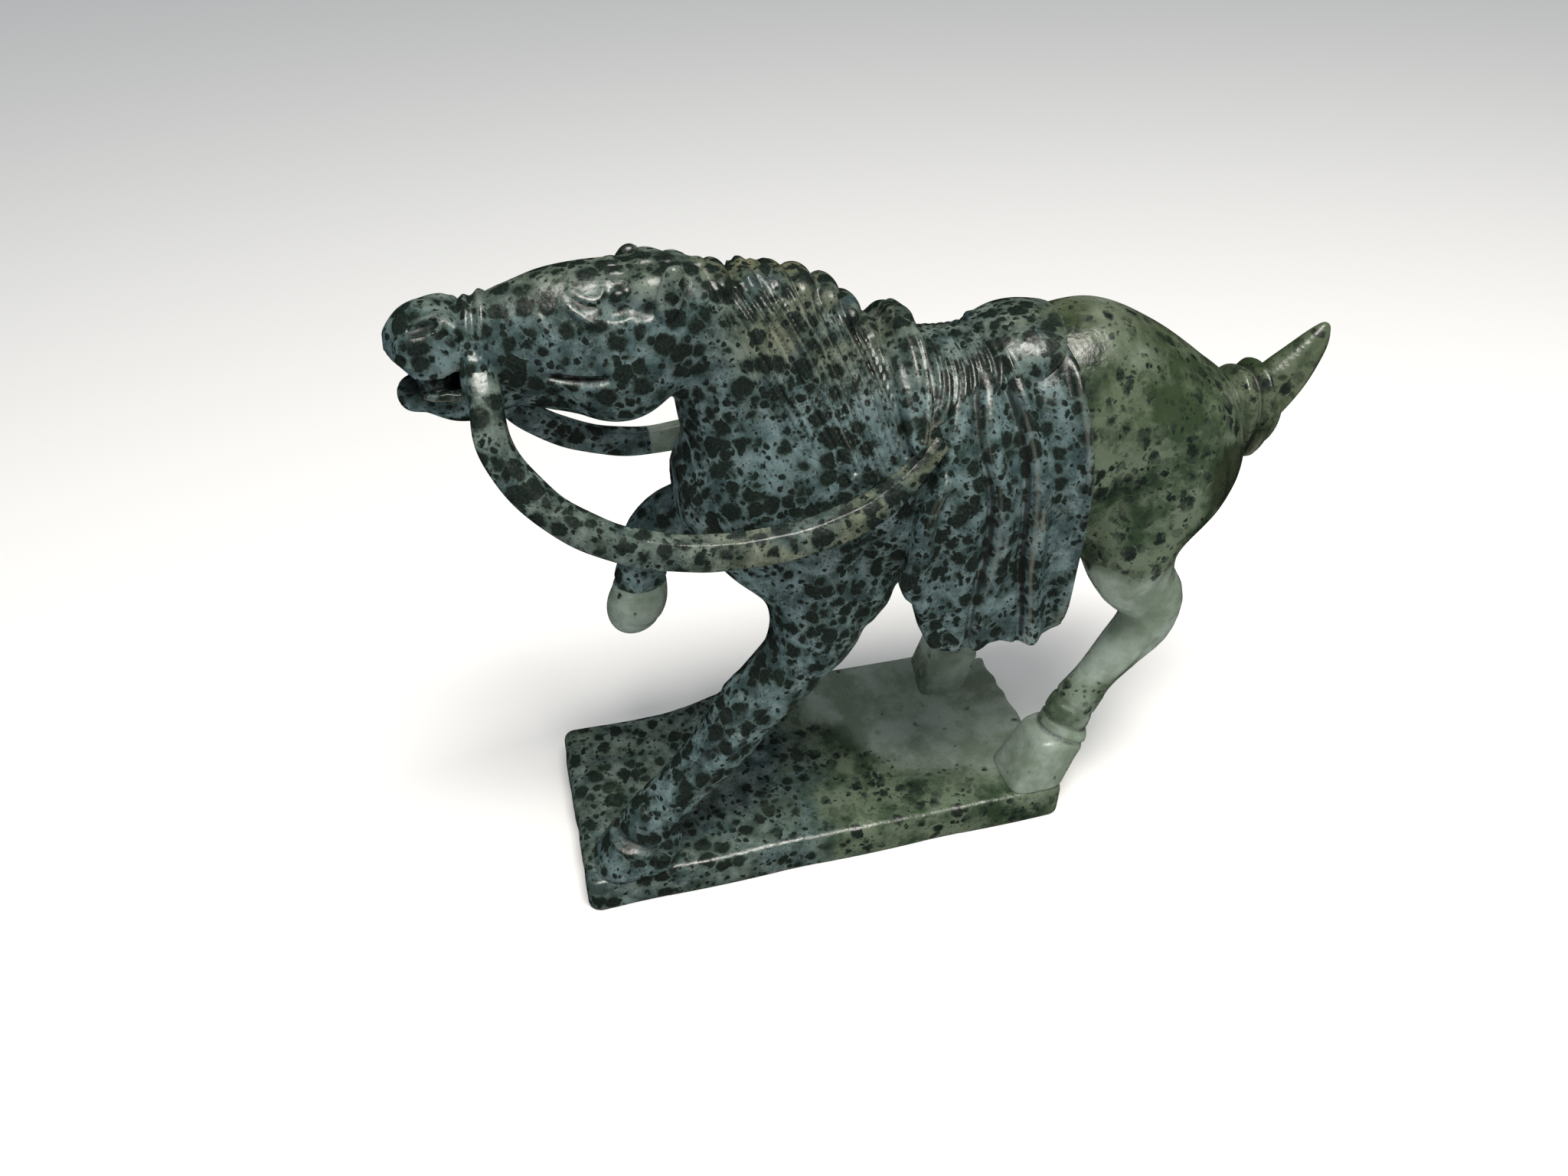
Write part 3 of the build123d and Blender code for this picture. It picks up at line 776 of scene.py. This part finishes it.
def plinth_clay():
    """Rounded slab, slightly uneven, chipped along its far rear edge."""
    clay = Clay((-63, -29, -1), (63, 29, 17), 0.5)
    x, y, z = clay.grid()
    wobble = 0.16 * np.sin(x * 0.11 + 1.0) + 0.12 * np.sin(x * 0.23 + y * 0.31)
    wobble = wobble + 0.1 * np.sin(y * 0.5 - x * 0.07)
    # The ground rises to a low bank along the far edge.
    bank = 4.8 * ramp(x, -34, -12) * ramp(-x, -57, -40) * ramp(y, 8, 24)
    wobble = wobble + bank
    half_x = 60 + 0.3 * np.sin(y * 0.35) * np.sin(y * 0.13 + 2) - 0.25
    half_y = 26.6 + 0.15 * np.sin(x * 0.17)
    r = 3.0
    qx, qy = np.abs(x) - half_x + r, np.abs(y) - half_y + r
    side = np.hypot(np.maximum(qx, 0), np.maximum(qy, 0)) + np.minimum(np.maximum(qx, qy), 0) - r
    inner = smooth_min(-side, 9.3 + wobble - z, 2.6)
    clay.d = np.broadcast_to(-smooth_min(inner, z + 0.0 * x, 0.3), clay.d.shape).astype(np.float32).copy()
    for centre, radii in [
        ((61.4, 21, 9), (3, 4.4, 5)), ((60.8, 14, 10), (2.2, 3.6, 4)), ((61.6, 7, 9), (2.4, 4.6, 6)),
        ((56, 26.8, 10.4), (5, 2, 2.6)), ((61, 25, 5), (3, 3, 5)),
        ((-60.6, -4, 10.6), (1.6, 4.6, 2.2)), ((-60.4, 12, 10.4), (1.4, 5.4, 1.8)),
        ((-20, 27.2, 10.2), (9, 1.4, 1.6)),
    ]:
        clay.carve(egg(centre, radii), 0.8)
    return clay


REIN_SECTION = [  # outward, up
    (-2.5, -2.3), (-2.1, -2.9), (-1.4, -3.1), (1.4, -3.1), (2.1, -2.9), (2.5, -2.4), (2.6, -1.2),
    (2.5, 0.6), (2.3, 1), (1.2, 2.4), (0.9, 2.6), (0.6, 2.7), (-1.8, 3.1), (-2.3, 2.9), (-2.6, 2.4),
    (-2.6, 0),
]
REIN_ROUTES = {
    "left_rein": [
        (-63.2, -3.5, 135), (-63.4, -10.2, 129.5), (-63.4, -15.5, 121.5), (-57, -20.5, 111.2),
        (-46, -23.3, 102.9), (-33, -24.3, 98.2), (-19, -24.4, 96.6), (-4, -24.4, 98.2),
        (7, -24, 102.4), (13.5, -23, 107), (20, -20.2, 112.2),
    ],
    "right_rein": [
        (-63.2, 3.5, 135), (-63, 10.2, 129), (-62.2, 13.5, 121), (-57, 16, 110.5),
        (-47, 18, 102.5), (-35, 19, 98.5), (-22, 20.5, 98), (-6, 22.8, 99), (6, 23.8, 102.4),
        (13.5, 23, 107.4), (20, 20.2, 112.2),
    ],
}


def rein_mesh(route, side):
    """Faceted strap swept along its route, with a crisp edge under its top face."""
    path = np.array(curve_through(route, per_span=14))
    tangent = unit(np.gradient(path, axis=0))
    outward = unit(np.array([0.0, side, 0.0]) - tangent * (tangent[:, 1:2] * side))
    up = np.cross(tangent, outward) * side
    length = np.concatenate([[0], np.cumsum(np.linalg.norm(np.diff(path, axis=0), axis=1))])
    size = 1.0 - 0.35 * ramp(length, length[-1] - 24, length[-1] - 4)
    size = size * (1 + 0.02 * np.sin(length * 0.5)) * (0.88 + 0.12 * ramp(length, 0, 10))
    n = len(REIN_SECTION)
    rings = [p + s * (a * o + b * u) for p, o, u, s in zip(path, outward, up, size)
             for a, b in REIN_SECTION]
    verts = np.array(rings + [path[0] - tangent[0] * 0.5, path[-1] + tangent[-1] * 0.5])
    i = np.arange(len(path) - 1)[:, None] * n
    j, k = np.arange(n)[None, :], (np.arange(n)[None, :] + 1) % n
    quads = np.stack([i + j, i + k, i + n + k, i + n + j], axis=-1).reshape(-1, 4)
    first, last = len(rings), len(rings) + 1
    base = (len(path) - 1) * n
    tris = [(first, (m + 1) % n, m) for m in range(n)]
    tris = np.array(tris + [(last, base + m, base + (m + 1) % n) for m in range(n)])
    if corner_normals(verts, quads)[:n] @ outward[0] @ [a for a, _ in REIN_SECTION] < 0:
        quads, tris = quads[:, ::-1], tris[:, ::-1]
    return verts, quads, tris


# ==== splitting the body into its regions ====
def under(x, z, a, b):
    """Below the line through two points of the side view."""
    return z < a[1] + (x - a[0]) * (b[1] - a[1]) / (b[0] - a[0])


BODY_REGIONS = [
    "torso", "neck", "head", "lower_jaw", "left_foreleg", "right_foreleg", "left_hind_leg",
    "right_hind_leg", "left_fore_hoof", "right_fore_hoof", "left_hind_hoof", "right_hind_hoof",
]


def region_of(x, y, z):
    """Index into BODY_REGIONS of each place; a later rule wins over an earlier one."""
    label = np.zeros(len(x), int)
    label[(x < 16) & ~under(x, z, (-28, 104), (13, 128))] = 1
    label[(z > 114) & (x < -30 + (z - 119) * 8 / 27)] = 2
    mouth = np.where(x < -64, 131.2 - (x + 80) * 0.044, 130.5 - (x + 64) * 0.4)
    label[(label == 2) & (x < -48) & (z < mouth)] = 3
    label[(y < -3) & (x < 16) & under(x, z, (-22, 86), (8, 74))] = 4
    label[(y > 3) & (x < -17) & (z < 91)] = 5
    label[(y < -2) & (x > 45) & under(x, z, (58, 68), (100, 80))] = 6
    label[(y > 2) & (x > 25) & under(x, z, (48, 68), (95, 82))] = 7
    label[(label == 4) & under(x, z, (-53.5, 19.0), (-39.5, 13.8))] = 8
    label[(label == 5) & (z < 65.4)] = 9
    label[(label == 6) & under(x, z, (53, 25.0), (65.5, 20.4))] = 10
    label[(label == 7) & under(x, z, (41, 28.0), (54.5, 23.4))] = 11
    return label


def tidy_labels(faces, label, rounds=6):
    """Even out the border so that no region touches itself at a single corner."""
    count = faces.max() + 1
    for _ in range(rounds):
        votes = np.zeros((count, len(BODY_REGIONS)), int)
        for i in range(4):
            np.add.at(votes, (faces[:, i], label), 1)
        around = votes[faces].sum(axis=1)
        around[np.arange(len(faces)), label] += 2
        label = around.argmax(axis=1)
    return label


def border_loops(faces):
    """Closed rings of directed edges that only one face of the set uses."""
    n = int(faces.max()) + 1
    a, b = faces.ravel(), np.roll(faces, -1, axis=1).ravel()
    forward, backward = a.astype(np.int64) * n + b, b.astype(np.int64) * n + a
    lone = ~np.isin(forward, backward)
    follow = {}
    for p, q in zip(a[lone].tolist(), b[lone].tolist()):
        follow.setdefault(p, []).append(q)
    loops = []
    while follow:
        start = next(iter(follow))
        loop, at = [], start
        while True:
            loop.append(at)
            ends = follow[at]
            nxt = ends.pop()
            if not ends:
                del follow[at]
            at = nxt
            if at == start:
                break
        loops.append(loop)
    return loops


def cut_out(verts, faces):
    """One region as a closed mesh: its faces, and a fan of triangles over each border ring."""
    used, local = np.unique(faces, return_inverse=True)
    quads = local.reshape(faces.shape)
    points, tris = [verts[used]], []
    for loop in border_loops(quads):
        hub = len(used) + len(points) - 1
        points.append(points[0][loop].mean(axis=0)[None])
        tris += [(q, p, hub) for p, q in zip(loop, loop[1:] + loop[:1])]
    return used, np.concatenate(points), quads, np.array(tris, int).reshape(-1, 3)


def field_normals(clay, verts):
    """Outward direction of the field, which shades more evenly than the faces do."""
    normals = np.zeros_like(verts)
    for axis in range(3):
        shift = np.zeros(3)
        shift[axis] = clay.step * 0.8
        normals[:, axis] = sample(clay.d, clay, verts + shift) - sample(clay.d, clay, verts - shift)
    return unit(normals)


def settled(clay):
    """Surface of a block with its vertices drawn onto the field."""
    verts, faces = surface(clay)
    normals = field_normals(clay, verts)
    miss = np.clip(sample(clay.d, clay, verts), -0.3 * clay.step, 0.3 * clay.step)
    verts = verts - normals * miss[:, None] * 0.8
    return verts, faces, field_normals(clay, verts), hollowness(clay, verts, normals, clay.step * 3)


def shade_marks(name, verts):
    """How pale, green, olive and stained the stone is at each place; on the body the olive and the pale
    croup top are painted warm top light.
    """
    x, y, z = verts.T
    none = 0 * x
    # Body: dark at the front, olive on top and paler on the top of the croup as painted warm light from
    # above, green at the rump, celadon down the hind legs.
    shank = ramp(-z, -82, -59)
    pale = ramp(x, 50, 60) * (0.45 * ramp(z, 114, 124) * ramp(-x, -92, -70)) + ramp(x, 26, 44) * 1.1 * shank
    green = ramp(x, 40, 60) * ramp(z, 50, 72) + ramp(x, 26, 44) * shank
    olive = 0.75 * ramp(z, 116, 134) * ramp(x, -26, -12) + 0.5 * ramp(z, 138, 146)
    olive += 0.5 * ramp(x, 44, 60) * ramp(z, 96, 116)
    patch = ramp(-np.abs(z - 33 - 0.4 * (x - 62)), -9, -3) * (y < 0) * (x > 40)
    pale -= 0.75 * patch + 0.35 * ramp(-z, -24, -18) * (x > 20)
    stain = ramp(-np.hypot((x - 88) / 6.5, (z - 93) / 7.5), -1.15, -0.85) * (y < 0)
    if name == "saddle_cloth":
        pale, green = none, 0.4 * ramp(x, 30, 52) * ramp(-z, -80, -62)
    elif name == "plinth":
        pale = 1.3 * ramp(x + 0.6 * y, 0, 34) * (0.15 + 0.85 * ramp(y, -20, 2))
        green = 0.35 + 0.65 * ramp(x, -20, 30)
        olive = 0.3 * ramp(-x, -10, 40)
    elif name == "right_fore_hoof":
        pale, green = none + 0.7, none + 0.2
    elif name in ("tail_knot", "tail_tip"):
        pale, green, olive = none - 0.4, none + 1.0, none + 0.6
    elif name == "right_rein":
        pale = 1.3 * ramp(x, -32.5, -30.0) * ramp(-x, 2, 20)
        green, olive = none, none
    elif name == "left_rein":
        pale, green, olive = none + 0.05, none, 0.35 + 0.4 * ramp(x, -45, -10)
    return {"pale": np.clip(pale, -0.5, 1.3), "green": np.clip(green, 0, 1), "olive": np.clip(olive, 0, 1),
            "stain": stain}


# ==== pieces and stone ====
SLOTS = {
    "plinth": "plinth_stone", "torso": "body_stone",
    "right_foreleg": "grey_stone", "right_fore_hoof": "grey_stone",
    "tail_knot": "olive_stone", "tail_tip": "olive_stone",
    "left_hind_leg": "pale_stone", "right_hind_leg": "pale_stone",
    "left_hind_hoof": "pale_stone", "right_hind_hoof": "pale_stone",
}


def add_piece(name, verts, quads, tris, normals, cavity):
    """A closed mesh in metres that stands for the CAD node of the same name."""
    mesh = bpy.data.meshes.new(name)
    mesh.vertices.add(len(verts))
    mesh.vertices.foreach_set("co", (verts * MM).astype(np.float32).ravel())
    corners = np.concatenate([quads.ravel(), tris.ravel()]).astype(np.int32)
    mesh.loops.add(len(corners))
    mesh.loops.foreach_set("vertex_index", corners)
    starts = np.concatenate([np.arange(len(quads)) * 4, len(quads) * 4 + np.arange(len(tris)) * 3])
    mesh.polygons.add(len(starts))
    mesh.polygons.foreach_set("loop_start", starts.astype(np.int32))
    mesh.update(calc_edges=True)
    mesh.polygons.foreach_set("use_smooth", np.ones(len(starts), bool))
    full = np.zeros((len(verts), 3))
    full[:, 2] = 1.0
    full[:len(normals)] = normals
    mesh.normals_split_custom_set_from_vertices(full)
    marks = shade_marks(name, verts)
    marks["cavity"] = np.pad(cavity, (0, len(verts) - len(cavity)))
    for key, values in marks.items():
        mesh.attributes.new(key, "FLOAT", "POINT").data.foreach_set("value", values.astype(np.float32))
    piece = bpy.data.objects.new(name + "_stone", mesh)
    bpy.context.scene.collection.objects.link(piece)
    slot = SLOTS.get(name, "dark_stone")
    mesh.materials.append(STONES[slot])
    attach(piece, "root")
    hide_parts(name)


class Tree:
    """Short way to write a node tree: each call makes a node and wires or sets its inputs."""

    def __init__(self, material):
        material.use_nodes = True
        self.nodes, self.links = material.node_tree.nodes, material.node_tree.links
        self.nodes.clear()

    def __call__(self, kind, inputs=None, **props):
        node = self.nodes.new("ShaderNode" + kind)
        for key, value in props.items():
            setattr(node, key, value)
        for key, value in (inputs or {}).items():
            if isinstance(value, bpy.types.NodeSocket):
                self.links.new(value, node.inputs[key])
            else:
                node.inputs[key].default_value = value
        return node

    def math(self, operation, a, b=0.0, c=0.0):
        return self("Math", {0: a, 1: b, 2: c}, operation=operation).outputs[0]

    def times(self, a, b, plus=0.0):
        return self.math("MULTIPLY_ADD", a, b, plus)

    def fit(self, value, low, high, to_low=0.0, to_high=1.0):
        inputs = {"Value": value, "From Min": low, "From Max": high, "To Min": to_low, "To Max": to_high}
        return self("MapRange", inputs, interpolation_type="SMOOTHSTEP").outputs[0]

    def mix(self, factor, a, b):
        a, b = (v if isinstance(v, bpy.types.NodeSocket) else (*v, 1.0) for v in (a, b))
        return self("Mix", {0: factor, 6: a, 7: b}, data_type="RGBA").outputs[2]

    def mix_value(self, factor, a, b):
        return self("Mix", {0: factor, 2: a, 3: b}).outputs[0]

    def noise(self, vector, scale, detail=3.0, rough=0.55, output="Fac"):
        inputs = {"Vector": vector, "Scale": scale, "Detail": detail, "Roughness": rough}
        return self("TexNoise", inputs).outputs[output]


def blots(t, vector, scale, share, reach=0.0):
    """Rounded blots of many sizes round scattered points, with soft edges."""
    cell = t("TexVoronoi", {"Vector": vector, "Scale": scale})
    chance = t("SeparateColor", {0: cell.outputs["Color"]}).outputs[0]
    inside = t.math("SUBTRACT", t.times(chance, 0.42, share), cell.outputs["Distance"])
    return t.fit(inside, -0.07 - reach, 0.09)


# Colours in linear red, green and blue; a pair is the darkest and the lightest of its kind.
SLATE = (0.028, 0.050, 0.053), (0.125, 0.185, 0.190)
OLIVE = (0.062, 0.070, 0.036), (0.165, 0.168, 0.100)
LEAF = (0.024, 0.046, 0.022), (0.110, 0.145, 0.095)
CELADON = (0.150, 0.195, 0.145), (0.265, 0.320, 0.275)
BLOT = (0.0060, 0.0100, 0.0088), (0.017, 0.027, 0.021)
OLIVE_LEAF, OLIVE_CELADON = (0.048, 0.058, 0.026), (0.165, 0.185, 0.125)
VEIN, HALO, STAIN = (0.21, 0.25, 0.225), (0.026, 0.050, 0.032), (0.024, 0.031, 0.016)
# Grooves darken to painted shade with grime; ridges lighten to painted highlight with wear.
SHADE_AND_GRIME, WORN_AND_HIGHLIGHT = (0.007, 0.010, 0.008), (0.26, 0.265, 0.215)


def stone(name, share):
    """Polished serpentine: black-green blots in a cloudy grey-blue ground, passing into celadon.

    share is how much room the dark blots take.
    """
    material = bpy.data.materials.new(name)
    t = Tree(material)
    place = t("TexCoord").outputs["Object"]
    mm = t("VectorMath", {0: place, "Scale": 1 / MM}, operation="SCALE").outputs[0]
    sway = t.noise(mm, 0.34, 4.0, 0.6, "Color")
    bent = t("VectorMath", {0: sway, 1: (2.8, 2.8, 2.8), 2: mm}, operation="MULTIPLY_ADD").outputs[0]
    pale, green, olive, stain, cavity = (
        t("Attribute", attribute_name=key).outputs["Fac"]
        for key in ("pale", "green", "olive", "stain", "cavity"))

    # Zones: the marks are broken up by noise at two sizes so that no border is straight.
    broad = t.noise(mm, 0.055, 3.0, 0.6)
    ragged = t.noise(bent, 0.15, 4.0, 0.6)
    stray = t.times(broad, 0.7, t.times(ragged, 0.5, -0.6))
    is_pale = t.fit(t.math("ADD", pale, stray), 0.22, 0.78)
    is_green = t.fit(t.math("ADD", green, stray), 0.25, 0.75)

    # Dark blots at three sizes; they thin out in the green zone and vanish in the pale one.
    room = t.times(t.math("SUBTRACT", broad, 0.5), 0.55, share)
    room = t.times(is_green, -0.05, room)
    room = t.times(is_pale, -0.34, room)
    big = blots(t, bent, 0.27, room)
    middle = blots(t, bent, 0.60, t.math("SUBTRACT", room, 0.10))
    small = blots(t, bent, 1.30, t.math("SUBTRACT", room, 0.20))
    halo = blots(t, bent, 0.27, room, reach=0.32)
    dark = t.math("MAXIMUM", t.math("MAXIMUM", big, middle), t.times(small, 0.75))
    soft = t.fit(t.noise(bent, 0.22, 3.0, 0.6), 0.40, 0.62, 0.35, 1.0)
    dark = t.times(dark, t.mix_value(is_green, 1.0, soft))

    # Grey-blue ground, clouded; olive where that mark is high; dark green round the blots.
    lift = t.fit(t.noise(mm, 0.20, 7.0, 0.62), 0.36, 0.66)
    wisp = t.noise(bent, 0.10, 5.0, 0.6)
    vein = t.fit(t.math("ABSOLUTE", t.math("SUBTRACT", wisp, 0.5)), 0.0, 0.016, 0.35, 0.0)
    ground = t.mix(vein, t.mix(lift, *SLATE), VEIN)
    # The olive mark carries painted warm top light on the body as well as the stone's own olive elsewhere.
    warm = t.times(olive, t.fit(t.noise(mm, 0.10, 4.0), 0.28, 0.58))
    ground = t.mix(warm, ground, t.mix(lift, *OLIVE))
    ground = t.mix(t.times(halo, 0.5), ground, HALO)

    # Green zone and celadon zone, both drifting slowly.
    drift = t.noise(bent, 0.085, 5.0, 0.6)
    leaf = t.mix(t.times(olive, 0.6), t.mix(t.fit(drift, 0.40, 0.60), *LEAF), OLIVE_LEAF)
    celadon = t.mix(t.times(olive, 0.5), t.mix(t.fit(drift, 0.38, 0.62), *CELADON), OLIVE_CELADON)
    colour = t.mix(is_pale, t.mix(is_green, ground, leaf), celadon)

    # Blots, the stain on the buttock, painted shade with grime in the grooves and painted highlight with
    # wear on the ridges.
    grain = t.noise(mm, 2.2, 4.0, 0.7)
    colour = t.mix(dark, colour, t.mix(t.fit(grain, 0.35, 0.7), *BLOT))
    colour = t.mix(t.times(stain, 0.8), colour, STAIN)
    # Painted shade with grime: grooves and hollows darken.
    colour = t.mix(t.fit(cavity, 0.05, 0.8, 0.0, 0.75), colour, SHADE_AND_GRIME)
    # Painted highlight with wear: ridges and carved edges lighten to a pale tan.
    colour = t.mix(t.fit(cavity, -0.25, -1.3, 0.0, 0.5), colour, WORN_AND_HIGHLIGHT)

    # Polish, duller in the grooves, over faint lumps and long scrapes.
    rough = t.fit(t.noise(mm, 0.5, 6.0, 0.7), 0.3, 0.75, 0.20, 0.40)
    rough = t.times(t.fit(cavity, 0.0, 0.7), 0.25, rough)
    stretched = t("VectorMath", {0: mm, 1: (1.0, 1.0, 0.35)}, operation="MULTIPLY").outputs[0]
    scrape = t.noise(stretched, 1.6, 3.0, 0.6)
    height = t.times(t.noise(mm, 0.30, 2.0), 3.0, t.times(scrape, 0.5, t.times(grain, 0.35)))
    bump = t("Bump", {"Strength": 0.6, "Distance": 0.00016, "Height": height}).outputs[0]
    skin = t("BsdfPrincipled", {"Base Color": colour, "Roughness": rough, "Normal": bump, "IOR": 1.55})
    t("OutputMaterial", {"Surface": skin.outputs[0]})
    return material


STONES = {name: stone(name, share) for name, share in {
    "dark_stone": 0.205, "body_stone": 0.22, "olive_stone": 0.16, "grey_stone": 0.14, "pale_stone": 0.14,
    "plinth_stone": 0.18,
}.items()}

# The horse itself is one surface, cut along region borders so that no seam shows.
verts, faces, normals, cavity = settled(body_clay())
labels = tidy_labels(faces, region_of(*verts[faces].mean(axis=1).T))
for index, name in enumerate(BODY_REGIONS):
    used, points, quads, tris = cut_out(verts, faces[labels == index])
    add_piece(name, points, quads, tris, normals[used], cavity[used])

# Regions with carved edges of their own overlap it.
NO_TRIS = np.zeros((0, 3), int)
for name, clay in [
    ("mane", mane_clay()), ("saddle", saddle_clay()), ("saddle_cloth", cloth_clay()),
    ("noseband", noseband_clay()), ("forelock", forelock_clay()), ("left_ear", ear_clay("left_ear")),
    ("right_ear", ear_clay("right_ear")), ("tail_knot", tail_knot_clay()), ("tail_tip", tail_tip_clay()),
    ("plinth", plinth_clay()),
]:
    points, quads, directions, hollows = settled(clay)
    add_piece(name, points, quads, NO_TRIS, directions, hollows)
for name, side in (("left_rein", LEFT), ("right_rein", RIGHT)):
    points, quads, tris = rein_mesh(REIN_ROUTES[name], side)
    add_piece(name, points, quads, tris, corner_normals(points, quads), np.zeros(len(points)))

# ==== floor, camera and light ====
floor_mesh = bpy.data.meshes.new("floor")
floor_mesh.from_pydata([(-3, -3, 0), (3, -3, 0), (3, 3, 0), (-3, 3, 0)], [], [(0, 1, 2, 3)])
floor = bpy.data.objects.new("floor", floor_mesh)
bpy.context.scene.collection.objects.link(floor)
paper = bpy.data.materials.new("paper")
paper.use_nodes = True
paper.node_tree.nodes["Principled BSDF"].inputs["Base Color"].default_value = (0.93, 0.93, 0.92, 1)
paper.node_tree.nodes["Principled BSDF"].inputs["Roughness"].default_value = 0.85
floor_mesh.materials.append(paper)
floor.visible_glossy = False

camera_data = bpy.data.cameras.new("camera")
camera_data.sensor_width = 36.0
camera_data.lens = 27.05
camera = bpy.data.objects.new("camera", camera_data)
camera.location = (-0.060, -0.2031, 0.2308)
camera.rotation_euler = (math.radians(51.9), 0.0, math.radians(-14.9))
bpy.context.scene.collection.objects.link(camera)
bpy.context.scene.camera = camera


def area_light(name, location, target, size, power, colour):
    data = bpy.data.lights.new(name, "AREA")
    data.shape = "RECTANGLE"
    data.size, data.size_y = size
    data.energy = power
    data.color = colour
    lamp = bpy.data.objects.new(name, data)
    lamp.location = location
    aim = np.array(target) - np.array(location)
    lamp.rotation_euler = (
        math.pi - math.atan2(math.hypot(aim[0], aim[1]), aim[2]), 0.0, math.atan2(aim[0], -aim[1]))
    bpy.context.scene.collection.objects.link(lamp)


area_light("window", (-0.90, -0.20, 0.38), (0.0, 0.0, 0.09), (0.48, 0.60), 36.0, (0.36, 0.60, 1.0))
area_light("ceiling", (0.05, -0.30, 0.95), (0.0, 0.0, 0.10), (0.45, 0.45), 12.5, (1.0, 0.96, 0.90))
world = bpy.data.worlds.new("studio")
world.use_nodes = True
world.node_tree.nodes["Background"].inputs[0].default_value = (0.95, 0.97, 1.0, 1.0)
world.node_tree.nodes["Background"].inputs[1].default_value = 0.5
bpy.context.scene.world = world
world.cycles_visibility.glossy = False
bpy.context.scene.view_settings.view_transform = "Standard"
